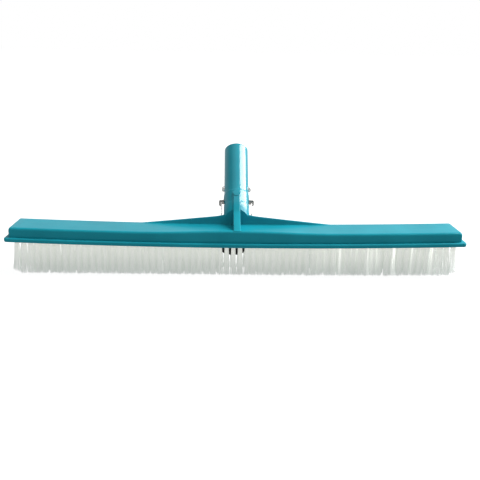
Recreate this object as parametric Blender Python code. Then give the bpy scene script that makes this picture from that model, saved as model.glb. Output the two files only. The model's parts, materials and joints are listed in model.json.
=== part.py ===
"""Pool wall brush: a bowed deck of bristle tufts, a sloping pole handle and its spring clip.

Metres, +Z up.  X runs along the deck, -Y is the front and the handle leans back to +Y.
The tuft tips are at Z = 0, and the origin is under the middle of the whole brush.
"""

import math

import bmesh
import bpy
from mathutils import Matrix, Vector

# ---- clearances -------------------------------------------------------------------------
GAP = 0.0003                  # between pieces that touch
RUNNING_CLEARANCE = 0.0010    # beside the clip's arms where they pass through the handle
SEAM = 0.0001                 # keeps the faces of joined shapes from lying in one plane

# ---- deck: flange of the tuft block, and the shell that covers it -------------------------
FLANGE_LENGTH = 0.500
FLANGE_WIDTH = 0.0506
FLANGE_THICKNESS = 0.0046
FLANGE_CORNER = 0.0035        # plan radius
FLANGE_ROUND = 0.0012         # top and bottom edges of the rim
FLANGE_OVERHANG = 0.0043      # how far the flange stands out past the shell
SHELL_HEIGHT = 0.0152         # shell top above the flange's underside
SHELL_CORNER = 0.0025         # plan radius
SHELL_ROUND = 0.0028          # front and back top edges
SHELL_WALL = 0.0026
END_RISE = 0.0040             # the ends of the bowed deck are this much higher than its middle
CROWN_HEIGHT = 0.0027         # swelling of the front top edge at the middle
CROWN_REACH = 0.110           # half length of the swelling
BLOCK_HEIGHT = 0.0112         # top of the tuft block's body above the flange's underside
DECK_STATIONS = 20            # sections along the deck

# ---- upstand web along the back edge ------------------------------------------------------
WEB_THICKNESS = 0.0035
WEB_REACH = 0.107             # half length
WEB_HEIGHT = 0.0100           # above the shell top, beside the handle

# ---- handle: distances along its axis start at the root point -----------------------------
HANDLE_LEAN = math.radians(49.5)      # from the vertical
HANDLE_ROOT_BACK = 0.0045     # root point behind the shell's back face
HANDLE_ROOT_HEIGHT = 0.0051   # root point above the shell top
SPIGOT_RADIUS = 0.0143        # fits inside a 1-1/4 inch pole
SPIGOT_END = 0.1013
SPIGOT_CHAMFER = 0.0008
BORE_RADIUS = 0.0118
BORE_START = 0.0040
COLLAR_RADIUS = 0.0149
COLLAR_END = 0.0310
ROOT_RADIUS = 0.0153
ROOT_END = 0.0150
HANDLE_SIDES = 48
BORE_SIDES = 40               # out of step with the outside, so that no facets line up

# ---- gusset from the deck to the handle's front, with a round boss ------------------------
GUSSET_THICKNESS = 0.0078
GUSSET_FRONT_INSET = 0.0008   # behind the shell's front face
GUSSET_FRONT_HEIGHT = 0.0026  # above the shell top at the front
RIB_HEIGHT = 0.0010           # above the root's surface
BOSS_DISTANCE = 0.0245
BOSS_RADIUS = 0.0043
BOSS_HEIGHT = 0.0016

# ---- bristle tufts ---------------------------------------------------------------------------
TUFT_LENGTH = 0.0340          # at the middle, from the flange's underside to the tips
TUFT_DIAMETER = 0.0050
TUFT_CLEARANCE = 0.0006       # from a tuft to the bumper or a screw's post
TUFT_PITCH = 0.00737
ROW_PITCH = 0.0084
INNER_LEFT_MARGIN = 0.0280    # bare end of an inner row, where the end screw sits
INNER_RIGHT_MARGIN = 0.0340   # one tuft fewer than on the left
TUFT_DEPTH = 0.0076           # how far a tuft goes into the block
CURTAIN_WIDTH = 0.0034        # of a row, below the block
BLOCK_GAP = 0.0008            # between a row's curtain and the flange
ANCHOR_SPACE = 0.0015         # for the wire that holds a tuft at the bottom of its hole
HOLE_SIDES = 6
ROOT_WIDTH = 0.0031           # of the folded filaments at the bottom of a hole

# ---- screws and the rubber bumper in the bare patch at the middle -------------------------
SCREW_RADIUS = 0.0018
SCREW_POINT = 0.0011          # chamfer at the tip
SCREW_HEAD_RADIUS = 0.0036
SCREW_HEAD_HEIGHT = 0.0020
SCREW_HEAD_CHAMFER = 0.0004
RECESS_LENGTH = 0.0043        # arms of the cross recess
RECESS_WIDTH = 0.0009
RECESS_DEPTH = 0.0011
SCREW_STEP = 11               # an inner screw takes the place of this tuft from the middle
SCREW_END_INSET = 0.0170      # of an outer screw, from the flange's end
POST_RADIUS = 0.0036
BUMPER_LENGTH = 0.0270
BUMPER_WIDTH = 0.0180
BUMPER_HEIGHT = 0.0130
BUMPER_ROUND = 0.0038         # of its shoulder, across
BUMPER_DOME = 0.0058          # of its shoulder, up and down
BUMPER_FLOOR = 0.0058         # rubber between the deck and the screw's head
BUMPER_STEP = -0.5            # its place, in tuft pitches from the middle of the deck
SCREW_SIDES = 14
BUMPER_SIDES = 24

# ---- spring clip inside the handle --------------------------------------------------------
STRIP_THICKNESS = 0.0009
STRIP_WIDTH = 0.0080
BOW_RADIUS = 0.0045           # middle of the strip, at its bend
BOW_CENTRE = 0.0900           # distance along the handle, also where the arms flex
ARM_WALL_CLEARANCE = 0.0004   # between an arm and the bore
ARM_STRAIGHT_END = 0.0600     # the arm reaches the bore's wall here
ARM_BEND = 0.0030             # half length of the arm's gentle bends
ARM_EASE = 0.0008             # how far a bend's ends lie off the straight line
SQUEEZE = math.radians(3.8)   # how far an arm turns inwards
BUTTON_DISTANCE = 0.0420
BUTTON_RADIUS = 0.0032
BUTTON_PROUD = 0.0028         # beyond the spigot's surface
BUTTON_DOME = 0.0010
STEM_RADIUS = 0.0015
RIVET_RADIUS = 0.0026
RIVET_HEIGHT = 0.0009
WINDOW_START = 0.0020
WINDOW_END = 0.0260
LIP_DISTANCE = 0.0220
LIP_OUT = 0.0050              # lip tip beyond the root's surface
LIP_ROUND = 0.0012
PAD_OUT = 0.0019              # pad beyond the root's surface
PAD_START = 0.0045

# ---- worked out from the sizes above ------------------------------------------------------
SHELL_LENGTH = FLANGE_LENGTH - 2 * FLANGE_OVERHANG
SHELL_WIDTH = FLANGE_WIDTH - 2 * FLANGE_OVERHANG
SHELL_BACK = SHELL_WIDTH / 2
ROOT_POINT = Vector((0, SHELL_BACK + HANDLE_ROOT_BACK, SHELL_HEIGHT + HANDLE_ROOT_HEIGHT))
AXIS = Vector((0, math.sin(HANDLE_LEAN), math.cos(HANDLE_LEAN)))
OUTWARD = Vector((0, -AXIS.z, AXIS.y))          # from the axis to the handle's front side
MOUTH_BACK = (ROOT_POINT + AXIS * SPIGOT_END - OUTWARD * (SPIGOT_RADIUS - SPIGOT_CHAMFER)).y
DECK_PLACE = Matrix.Translation((0, (FLANGE_WIDTH / 2 - MOUTH_BACK) / 2, TUFT_LENGTH))
HANDLE_PLACE = DECK_PLACE @ Matrix.Translation(ROOT_POINT) @ Matrix.Rotation(-HANDLE_LEAN, 4, "X")
BLOCK_HALF_WIDTH = SHELL_BACK - SHELL_WALL - GAP
BLOCK_HALF_LENGTH = SHELL_LENGTH / 2 - SHELL_WALL - GAP
BUMPER_X = BUMPER_STEP * TUFT_PITCH
ROWS = {"front": -1.5, "front_inner": -0.5, "back_inner": 0.5, "back": 1.5}
HOLE_RADIUS = TUFT_DIAMETER / 2 + GAP / math.cos(math.pi / HOLE_SIDES)
HOLE_TOP = TUFT_DEPTH + ANCHOR_SPACE
SCREW_PLACES = [side * x for x in (SCREW_STEP * TUFT_PITCH, FLANGE_LENGTH / 2 - SCREW_END_INSET)
                for side in (-1, 1)]
ARM_X = BORE_RADIUS * math.cos(math.asin(STRIP_WIDTH / 2 / BORE_RADIUS)) \
    - ARM_WALL_CLEARANCE - STRIP_THICKNESS / 2
PAD_X = ROOT_RADIUS + PAD_OUT
LIP_X = ROOT_RADIUS + LIP_OUT


# ---- scene, collections and materials -----------------------------------------------------
for old in list(bpy.data.objects):
    bpy.data.objects.remove(old, do_unlink=True)

BRUSH = bpy.data.collections.new("pool_wall_brush")
CUTTERS = bpy.data.collections.new("cutters")
for group in (BRUSH, CUTTERS):
    bpy.context.scene.collection.children.link(group)


def new_material(name, colour, roughness, metallic=0.0):
    """A Principled BSDF with the piece's own colour, roughness and metallic value."""
    material = bpy.data.materials.new(name)
    material.use_nodes = True
    shader = material.node_tree.nodes["Principled BSDF"]
    shader.inputs["Base Color"].default_value = (*colour, 1.0)
    shader.inputs["Roughness"].default_value = roughness
    shader.inputs["Metallic"].default_value = metallic
    return material


TEAL = ("teal_plastic", (0.012, 0.235, 0.300), 0.35)
BRISTLE = ("bristle_nylon", (0.70, 0.74, 0.70), 0.45)
STEEL = ("stainless_steel", (0.62, 0.62, 0.60), 0.25, 1.0)
RUBBER = ("black_rubber", (0.010, 0.010, 0.010), 0.70)


def as_object(name, mesh_builder, collection, place=DECK_PLACE):
    """Turn a bmesh into an object, with its faces pointing out."""
    bmesh.ops.recalc_face_normals(mesh_builder, faces=mesh_builder.faces)
    mesh = bpy.data.meshes.new(name)
    mesh_builder.to_mesh(mesh)
    mesh_builder.free()
    thing = bpy.data.objects.new(name, mesh)
    thing.matrix_world = place
    collection.objects.link(thing)
    return thing


def piece(name, mesh_builder, finish, place=DECK_PLACE):
    """A finished piece of the brush, in its own material."""
    thing = as_object(name, mesh_builder, BRUSH, place)
    thing.data.materials.append(new_material(name + "_" + finish[0], *finish[1:]))
    return thing


def tool(name, mesh_builder, place=DECK_PLACE):
    """A solid that only cuts or joins, and isn't part of the brush."""
    thing = as_object(name, mesh_builder, CUTTERS, place)
    thing.hide_render = True
    thing.display_type = "WIRE"
    return thing


def combine(target, operation, *tools):
    """Cut each tool from the target, or join it on."""
    for other in tools:
        step = target.modifiers.new(other.name, "BOOLEAN")
        step.operation = operation
        step.object = other
        step.solver = "EXACT"


# ---- shapes -------------------------------------------------------------------------------
def bow(x):
    """How far the bowed deck has risen at a distance x from its middle."""
    return END_RISE * (2 * x / FLANGE_LENGTH) ** 2


def stations(half_length, corner=0.0):
    """Places of the sections along a bar, closer together round its plan corners."""
    inner = half_length - corner
    places = [inner * (2 * i / DECK_STATIONS - 1) for i in range(DECK_STATIONS + 1)]
    steps = [corner * math.sin(math.radians(a)) for a in (30, 60, 90)] if corner else []
    return [-inner - s for s in reversed(steps)] + places + [inner + s for s in steps]


def corner_inset(x, half_length, corner):
    """How far a bar's sides have come in at x, round the plan corners of its ends."""
    past = max(0.0, abs(x) - (half_length - corner))
    return corner - math.sqrt(max(corner ** 2 - past ** 2, 0.0))


def loft(sections):
    """Join like sections into one solid, with a flat cap at each end."""
    builder = bmesh.new()
    rings = [[builder.verts.new(point) for point in section] for section in sections]
    for one, two in zip(rings, rings[1:]):
        for i in range(len(one)):
            j = (i + 1) % len(one)
            builder.faces.new((one[i], one[j], two[j], two[i]))
    builder.faces.new(rings[0])
    builder.faces.new(rings[-1])
    bmesh.ops.triangulate(builder, faces=builder.faces)
    return builder


def rounded(y, z, y_side, z_side, radius, steps):
    """Points on a quarter circle in a section's corner, from its side to its top or bottom."""
    if not radius:
        return [(y, z)]
    turns = [math.pi / 2 * i / steps for i in range(steps + 1)]
    return [(y - y_side * radius * (1 - math.cos(a)), z - z_side * radius * (1 - math.sin(a)))
            for a in turns]


def bar(half_length, half_width, low, high, corner=0.0, top_round=0.0, low_chamfer=0.0,
        swelling=lambda x: 0.0):
    """A bowed bar along the deck, between two heights; its front top edge may swell upwards."""
    sections = []
    for x in stations(half_length, corner):
        half = half_width - corner_inset(x, half_length, corner)
        outline = rounded(-half, low, -1, -1, low_chamfer, 1)
        outline += reversed(rounded(half, low, 1, -1, low_chamfer, 1))
        outline += rounded(half, high, 1, 1, top_round, 2)
        outline += reversed(rounded(-half, high + swelling(x), -1, 1, top_round, 2))
        sections.append([(x, y, z + bow(x)) for y, z in outline])
    return loft(sections)


def crown(x):
    """Swelling of the shell's front top edge, a cosine hump over the middle."""
    if abs(x) >= CROWN_REACH:
        return 0.0
    return CROWN_HEIGHT * (1 + math.cos(math.pi * x / CROWN_REACH)) / 2


def web_height(x):
    """Height of the web above the shell top: level beside the handle, then straight down."""
    return WEB_HEIGHT * (WEB_REACH - max(abs(x), ROOT_RADIUS)) / (WEB_REACH - ROOT_RADIUS)


def cylinder(radius, start, end, sides, across=(0, 0), along="Z"):
    """A round bar between two distances, along Z or along X."""
    builder = bmesh.new()
    bmesh.ops.create_cone(builder, cap_ends=True, segments=sides, radius1=radius,
                          radius2=radius, depth=end - start)
    if along == "X":
        bmesh.ops.rotate(builder, verts=builder.verts, matrix=Matrix.Rotation(math.pi / 2, 3, "Y"))
        centre = ((start + end) / 2, *across)
    else:
        centre = (*across, (start + end) / 2)
    bmesh.ops.translate(builder, verts=builder.verts, vec=centre)
    return builder


def block(low, high):
    """A box between two corners."""
    builder = bmesh.new()
    bmesh.ops.create_cube(builder, size=1.0)
    size = [b - a for a, b in zip(low, high)]
    middle = [(a + b) / 2 for a, b in zip(low, high)]
    bmesh.ops.scale(builder, verts=builder.verts, vec=size)
    bmesh.ops.translate(builder, verts=builder.verts, vec=middle)
    return builder


def turned(profile, sides):
    """Turn a profile, given from top to bottom as radius and height, round the Z axis."""
    builder = bmesh.new()
    points = [builder.verts.new((r, 0, z)) for r, z in profile]
    for one, two in zip(points, points[1:]):
        builder.edges.new((one, two))
    bmesh.ops.spin(builder, geom=builder.verts[:] + builder.edges[:], axis=(0, 0, 1),
                   cent=(0, 0, 0), angle=2 * math.pi, steps=sides, use_merge=True)
    bmesh.ops.remove_doubles(builder, verts=builder.verts, dist=0.00001)
    return builder


def plate(outline, half_thickness):
    """A flat outline in the YZ plane, given its thickness along X."""
    builder = bmesh.new()
    face = builder.faces.new([builder.verts.new((-half_thickness, y, z)) for y, z in outline])
    grown = bmesh.ops.extrude_face_region(builder, geom=[face])["geom"]
    moved = [v for v in grown if isinstance(v, bmesh.types.BMVert)]
    bmesh.ops.translate(builder, verts=moved, vec=(2 * half_thickness, 0, 0))
    bmesh.ops.triangulate(builder, faces=builder.faces)
    return builder


def strip(path, width, thickness):
    """A bent metal strip: its middle line in the XZ plane, given thickness and width.

    At each bend the two faces meet on the mitre between the strip's two directions."""
    line = [Vector(point) for point in path]
    ways = [(two - one).normalized() for one, two in zip(line, line[1:])]
    mitres = []
    for before, after in zip(ways[:1] + ways, ways + ways[-1:]):
        mean = (before + after).normalized()
        mitres.append(Vector((-mean.y, mean.x)) / mean.dot(before) * thickness / 2)
    left = [point + mitre for point, mitre in zip(line, mitres)]
    right = [point - mitre for point, mitre in zip(line, mitres)]
    sections = [[(a.x, -width / 2, a.y), (b.x, -width / 2, b.y),
                 (b.x, width / 2, b.y), (a.x, width / 2, a.y)] for a, b in zip(left, right)]
    return loft(sections)


def merged(builders):
    """Put several solids into one bmesh, as separate bodies."""
    whole = bmesh.new()
    for one in builders:
        spare = bpy.data.meshes.new("spare")
        one.to_mesh(spare)
        one.free()
        whole.from_mesh(spare)
        bpy.data.meshes.remove(spare)
    return whole


# ---- where the tufts are ------------------------------------------------------------------
def bare(x, row):
    """Whether an inner row leaves this place out, for the bumper or for a screw head."""
    if abs(row) > 1:
        return False
    tuft_reach = TUFT_DIAMETER / 2 + TUFT_CLEARANCE
    near_bumper = abs(x - BUMPER_X) < BUMPER_LENGTH / 2 + tuft_reach
    post_reach = POST_RADIUS + 2 * GAP + tuft_reach
    near_screw = any(math.hypot(x - s, ROW_PITCH / 2) < post_reach for s in SCREW_PLACES)
    return near_bumper or near_screw


def tuft_places(row):
    """Places along one row: outer rows straddle the middle and run the length of the block;
    inner rows have a tuft on the middle and stop before the end screws."""
    if abs(row) > 1:
        phase = 0.5
        right = BLOCK_HALF_LENGTH - HOLE_RADIUS - GAP
        left = -right
    else:
        phase = 0.0
        left = INNER_LEFT_MARGIN - FLANGE_LENGTH / 2
        right = FLANGE_LENGTH / 2 - INNER_RIGHT_MARGIN
    steps = range(math.ceil(left / TUFT_PITCH - phase), math.floor(right / TUFT_PITCH - phase) + 1)
    return [(step + phase) * TUFT_PITCH for step in steps
            if not bare((step + phase) * TUFT_PITCH, row)]


# ---- back shell: deck cover, web, gusset and handle, one moulding ----------------------------
def make_back_shell():
    seat = FLANGE_THICKNESS + GAP
    shell = piece("back_shell", bar(SHELL_LENGTH / 2, SHELL_BACK, seat, SHELL_HEIGHT,
                                    SHELL_CORNER, SHELL_ROUND, swelling=crown), TEAL)

    web_front = SHELL_BACK - WEB_THICKNESS
    foot = SHELL_HEIGHT - SHELL_ROUND - SEAM
    sections = []
    for x in stations(WEB_REACH):
        top = SHELL_HEIGHT + web_height(x)
        outline = ((web_front, foot), (SHELL_BACK, foot), (SHELL_BACK, top), (web_front, top))
        sections.append([(x, y, z + bow(x)) for y, z in outline])
    web = tool("web", loft(sections))

    buried = -2 * ROOT_RADIUS / math.tan(HANDLE_LEAN) - ROOT_END
    profile = [(0, SPIGOT_END), (SPIGOT_RADIUS - SPIGOT_CHAMFER, SPIGOT_END),
               (SPIGOT_RADIUS, SPIGOT_END - SPIGOT_CHAMFER), (SPIGOT_RADIUS, COLLAR_END),
               (COLLAR_RADIUS, COLLAR_END), (COLLAR_RADIUS, ROOT_END),
               (ROOT_RADIUS, ROOT_END), (ROOT_RADIUS, buried), (0, buried)]
    handle = tool("handle", turned(profile, HANDLE_SIDES), HANDLE_PLACE)
    far = 4 * ROOT_RADIUS
    in_front = tool("in_front_of_web", block((-far, -2 * far, -far),
                                             (far, web_front + SEAM, 2 * far)))
    below = tool("below_seat", block((-far, -far, -2 * far), (far, 2 * far, seat + SEAM)))
    combine(handle, "DIFFERENCE", in_front, below)

    rib = ROOT_RADIUS + RIB_HEIGHT
    inside = (ROOT_RADIUS + BORE_RADIUS) / 2

    def beside(distance, out):
        spot = ROOT_POINT + AXIS * distance + OUTWARD * out
        return spot.y, spot.z

    front = -SHELL_BACK + GUSSET_FRONT_INSET
    root_y, root_z = beside(BORE_START, inside)
    outline = [(front, SHELL_HEIGHT - SHELL_WALL / 2), (front, SHELL_HEIGHT + GUSSET_FRONT_HEIGHT),
               beside(-WINDOW_START, rib), beside(BOSS_DISTANCE, rib),
               beside(BOSS_DISTANCE, inside), (root_y, root_z),
               (root_y, SHELL_HEIGHT - SHELL_WALL / 2)]
    gusset = tool("gusset", plate(outline, GUSSET_THICKNESS / 2))
    boss = cylinder(BOSS_RADIUS, inside, ROOT_RADIUS + BOSS_HEIGHT, SCREW_SIDES)
    bmesh.ops.rotate(boss, verts=boss.verts, matrix=Matrix.Rotation(math.pi / 2, 3, "X"))
    bmesh.ops.translate(boss, verts=boss.verts, vec=(0, 0, BOSS_DISTANCE))
    boss = tool("boss", boss, HANDLE_PLACE)
    combine(shell, "UNION", web, handle, gusset, boss)

    bore = tool("bore", cylinder(BORE_RADIUS, BORE_START, SPIGOT_END + far, BORE_SIDES),
                HANDLE_PLACE)
    slot = STRIP_WIDTH / 2 + RUNNING_CLEARANCE
    window = tool("window", block((-far, -slot, WINDOW_START), (far, slot, WINDOW_END)),
                  HANDLE_PLACE)
    drift = (SPIGOT_RADIUS + BUTTON_PROUD - BOW_RADIUS) * math.sin(SQUEEZE)
    lock_radius = (BUTTON_RADIUS + drift / 2 + GAP) / math.cos(math.pi / SCREW_SIDES)
    lock_hole = tool("lock_holes", cylinder(lock_radius, -far, far, SCREW_SIDES,
                                            (0, BUTTON_DISTANCE - drift / 2), "X"), HANDLE_PLACE)
    cavity = tool("cavity", bar(SHELL_LENGTH / 2 - SHELL_WALL, SHELL_BACK - SHELL_WALL,
                                -SHELL_HEIGHT, SHELL_HEIGHT - SHELL_WALL))
    combine(shell, "DIFFERENCE", cavity, bore, window, lock_hole)

    posts = [cylinder(POST_RADIUS, seat + bow(x), SHELL_HEIGHT - SHELL_WALL / 2 + bow(x),
                      SCREW_SIDES, (x, 0)) for x in [BUMPER_X] + SCREW_PLACES]
    pilots = [cylinder(SCREW_RADIUS + GAP, bow(x), SHELL_HEIGHT - SHELL_WALL / 2 + bow(x) - GAP,
                       SCREW_SIDES, (x, 0)) for x in [BUMPER_X] + SCREW_PLACES]
    combine(shell, "UNION", tool("posts", merged(posts)))
    combine(shell, "DIFFERENCE", tool("pilots", merged(pilots)))


# ---- tuft block: the flange and the body that fills the shell ------------------------------
def make_tuft_block():
    base = piece("tuft_block", bar(FLANGE_LENGTH / 2, FLANGE_WIDTH / 2, 0.0, FLANGE_THICKNESS,
                                   FLANGE_CORNER, FLANGE_ROUND, FLANGE_ROUND), TEAL)
    body = tool("block_body", bar(BLOCK_HALF_LENGTH, BLOCK_HALF_WIDTH,
                                  FLANGE_THICKNESS - FLANGE_ROUND, BLOCK_HEIGHT))
    combine(base, "UNION", body)
    holes = [cylinder(HOLE_RADIUS, -BLOCK_HEIGHT + bow(x), HOLE_TOP + bow(x), HOLE_SIDES,
                      (x, row * ROW_PITCH)) for row in ROWS.values() for x in tuft_places(row)]
    recesses = [cylinder(POST_RADIUS + GAP, FLANGE_THICKNESS + bow(x), 2 * BLOCK_HEIGHT,
                         SCREW_SIDES, (x, 0)) for x in [BUMPER_X] + SCREW_PLACES]
    bolts = [cylinder(SCREW_RADIUS + GAP, -BLOCK_HEIGHT, BLOCK_HEIGHT, SCREW_SIDES, (x, 0))
             for x in [BUMPER_X] + SCREW_PLACES]
    heads = [cylinder(SCREW_HEAD_RADIUS + GAP, -BLOCK_HEIGHT, SCREW_HEAD_HEIGHT + GAP + bow(x),
                      SCREW_SIDES, (x, 0)) for x in SCREW_PLACES]
    combine(base, "DIFFERENCE", tool("tuft_holes", merged(holes)),
            tool("post_recesses", merged(recesses)), tool("bolt_holes", merged(bolts)),
            tool("head_recesses", merged(heads)))


# ---- bristles: each row is a curtain of filaments, with a root in every tuft hole ------------
def make_bristles(name, row, places):
    """One row: the tufts meet below the block, and each goes up into its own hole.

    The tips are trimmed to one plane, so the tufts of the raised ends are longer."""
    y = row * ROW_PITCH
    ends = (places[0] - TUFT_PITCH / 2 + GAP, places[-1] + TUFT_PITCH / 2 - GAP)
    steps = max(2, round((ends[1] - ends[0]) / FLANGE_LENGTH * DECK_STATIONS))
    front, back = y - CURTAIN_WIDTH / 2, y + CURTAIN_WIDTH / 2
    sections = []
    for i in range(steps + 1):
        x = ends[0] + (ends[1] - ends[0]) * i / steps
        low, high = -TUFT_LENGTH, bow(x) - BLOCK_GAP
        sections.append([(x, front, low), (x, back, low), (x, back, high), (x, front, high)])
    curtain = piece("bristles_" + name, loft(sections), BRISTLE)
    half = ROOT_WIDTH / 2
    roots = [block((x - half, y - half, bow(x) - BLOCK_GAP - half),
                   (x + half, y + half, bow(x) + TUFT_DEPTH)) for x in places]
    combine(curtain, "UNION", tool("roots_" + name, merged(roots)))


def make_all_bristles():
    for name, row in ROWS.items():
        places = tuft_places(row)
        if abs(row) > 1:
            make_bristles(name, row, places)
        else:
            make_bristles(name + "_left", row, [x for x in places if x < 0])
            make_bristles(name + "_right", row, [x for x in places if x > 0])


# ---- screws and bumper ---------------------------------------------------------------------
def screw_profile(head_low, tip):
    """Pan head with a short chamfer, and a plain shank, from the tip down to the head."""
    shank_start = head_low + SCREW_HEAD_HEIGHT
    return [(0, tip), (SCREW_RADIUS - SCREW_POINT, tip), (SCREW_RADIUS, tip - SCREW_POINT),
            (SCREW_RADIUS, shank_start), (SCREW_HEAD_RADIUS, shank_start),
            (SCREW_HEAD_RADIUS, head_low + SCREW_HEAD_CHAMFER),
            (SCREW_HEAD_RADIUS - SCREW_HEAD_CHAMFER, head_low), (0, head_low)]


def driver_socket(head_low):
    """The cross recess in a screw head, as two crossed bars."""
    bars = []
    for turn in (0, math.pi / 2):
        one = block((-RECESS_LENGTH / 2, -RECESS_WIDTH / 2, head_low - SCREW_HEAD_HEIGHT),
                    (RECESS_LENGTH / 2, RECESS_WIDTH / 2, head_low + RECESS_DEPTH))
        bmesh.ops.rotate(one, verts=one.verts, matrix=Matrix.Rotation(turn, 3, "Z"))
        bars.append(one)
    return bars


def make_screws_and_bumper():
    tip = SHELL_HEIGHT - SHELL_WALL / 2 - 2 * GAP
    names = ("inner_left", "inner_right", "outer_left", "outer_right")
    for name, x in zip(names, SCREW_PLACES):
        place = DECK_PLACE @ Matrix.Translation((x, 0, bow(x)))
        screw = piece("block_screw_" + name, turned(screw_profile(0.0, tip), SCREW_SIDES), STEEL,
                      place)
        for number, one in enumerate(driver_socket(0.0)):
            combine(screw, "DIFFERENCE", tool("slot_%s_%d" % (name, number), one, place))

    head_low = -BUMPER_FLOOR - SCREW_HEAD_HEIGHT - GAP
    place = DECK_PLACE @ Matrix.Translation((BUMPER_X, 0, bow(BUMPER_X)))
    centre = piece("centre_screw", turned(screw_profile(head_low, tip), SCREW_SIDES), STEEL, place)
    for number, one in enumerate(driver_socket(head_low)):
        combine(centre, "DIFFERENCE", tool("centre_slot_%d" % number, one, place))

    radius = BUMPER_LENGTH / 2
    shoulder = [math.radians(a) for a in (0, 20, 40, 60, 80)]
    profile = [(0, -GAP), (radius, -GAP)]
    profile += [(radius - BUMPER_ROUND * (1 - math.cos(a)),
                 -BUMPER_HEIGHT + BUMPER_DOME * (1 - math.sin(a))) for a in shoulder]
    profile.append((0, -BUMPER_HEIGHT))
    solid = turned(profile, BUMPER_SIDES)
    bmesh.ops.scale(solid, verts=solid.verts, vec=(1, BUMPER_WIDTH / BUMPER_LENGTH, 1))
    bumper = piece("centre_bumper", solid, RUBBER, place)
    well = tool("bumper_well", cylinder(SCREW_HEAD_RADIUS + 2 * GAP, -2 * BUMPER_HEIGHT,
                                        -BUMPER_FLOOR, SCREW_SIDES), place)
    way = tool("bumper_way", cylinder(SCREW_RADIUS + GAP, -2 * BUMPER_HEIGHT, BUMPER_HEIGHT,
                                      SCREW_SIDES), place)
    combine(bumper, "DIFFERENCE", well, way)


# ---- spring clip: a bow, two arms with finger pads, and two lock buttons --------------------
def make_clip():
    turns = [math.radians(a) for a in range(0, 181, 20)]
    bow_path = [(-BOW_RADIUS * math.cos(a), BOW_CENTRE + BOW_RADIUS * math.sin(a)) for a in turns]
    piece("clip_bow", strip(bow_path, STRIP_WIDTH, STRIP_THICKNESS), STEEL, HANDLE_PLACE)

    for name, side in (("left", -1), ("right", 1)):
        hinge = Vector((side * BOW_RADIUS, 0, BOW_CENTRE))
        place = HANDLE_PLACE @ Matrix.Translation(hinge)
        local = [(side * x - hinge.x, z - hinge.z) for x, z in arm_line()]
        arm = piece("clip_arm_" + name, strip(local, STRIP_WIDTH, STRIP_THICKNESS), STEEL, place)
        across = (0, BUTTON_DISTANCE - BOW_CENTRE)
        way = tool("stem_way_" + name, cylinder(STEM_RADIUS + GAP, -SPIGOT_RADIUS, SPIGOT_RADIUS,
                                                SCREW_SIDES, across, "X"), place)
        combine(arm, "DIFFERENCE", way)

        button = turned(button_profile(), SCREW_SIDES)
        bmesh.ops.rotate(button, verts=button.verts,
                         matrix=Matrix.Rotation(side * math.pi / 2, 3, "Y"))
        bmesh.ops.translate(button, verts=button.verts,
                            vec=(-hinge.x, 0, BUTTON_DISTANCE - BOW_CENTRE))
        piece("lock_button_" + name, button, STEEL, place)


def arm_line():
    """Middle line of an arm: from the bow out to the bore's wall, along it, and out through
    the window, then back over the turned lip and down the finger pad."""
    lip_start = WINDOW_END - LIP_ROUND
    pad_top = LIP_DISTANCE - 2 * LIP_ROUND
    return [(BOW_RADIUS, BOW_CENTRE - GAP), (BOW_RADIUS + ARM_EASE, BOW_CENTRE - 2 * ARM_BEND),
            (ARM_X - ARM_EASE, ARM_STRAIGHT_END + ARM_BEND), (ARM_X, ARM_STRAIGHT_END - ARM_BEND),
            (ARM_X, lip_start), (ARM_X + ARM_EASE, lip_start - 2 * ARM_EASE),
            (LIP_X - LIP_ROUND, LIP_DISTANCE + ARM_EASE), (LIP_X, LIP_DISTANCE),
            (LIP_X - LIP_ROUND, LIP_DISTANCE - LIP_ROUND), (PAD_X + ARM_EASE / 2, pad_top),
            (PAD_X, pad_top - 2 * ARM_EASE), (PAD_X, PAD_START)]


def button_profile():
    """A domed button, the stem through the arm, and the rivet head behind it."""
    face = ARM_X + STRIP_THICKNESS / 2 + GAP
    back = ARM_X - STRIP_THICKNESS / 2 - GAP
    tip = SPIGOT_RADIUS + BUTTON_PROUD
    dome = [math.radians(a) for a in (0, 35, 60, 90)]
    rivet = [math.radians(a) for a in (0, 40, 90)]
    profile = [(BUTTON_RADIUS * math.sin(a), tip - BUTTON_DOME * (1 - math.cos(a))) for a in dome]
    profile += [(BUTTON_RADIUS, face), (STEM_RADIUS, face), (STEM_RADIUS, back)]
    return profile + [(RIVET_RADIUS * math.cos(a), back - RIVET_HEIGHT * math.sin(a))
                      for a in rivet]


make_back_shell()
make_tuft_block()
make_all_bristles()
make_screws_and_bumper()
make_clip()
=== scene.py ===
"""The looks of a pool wall brush: teal moulded deck and handle, nylon tufts and a steel lock clip."""
import json
import math

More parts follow.
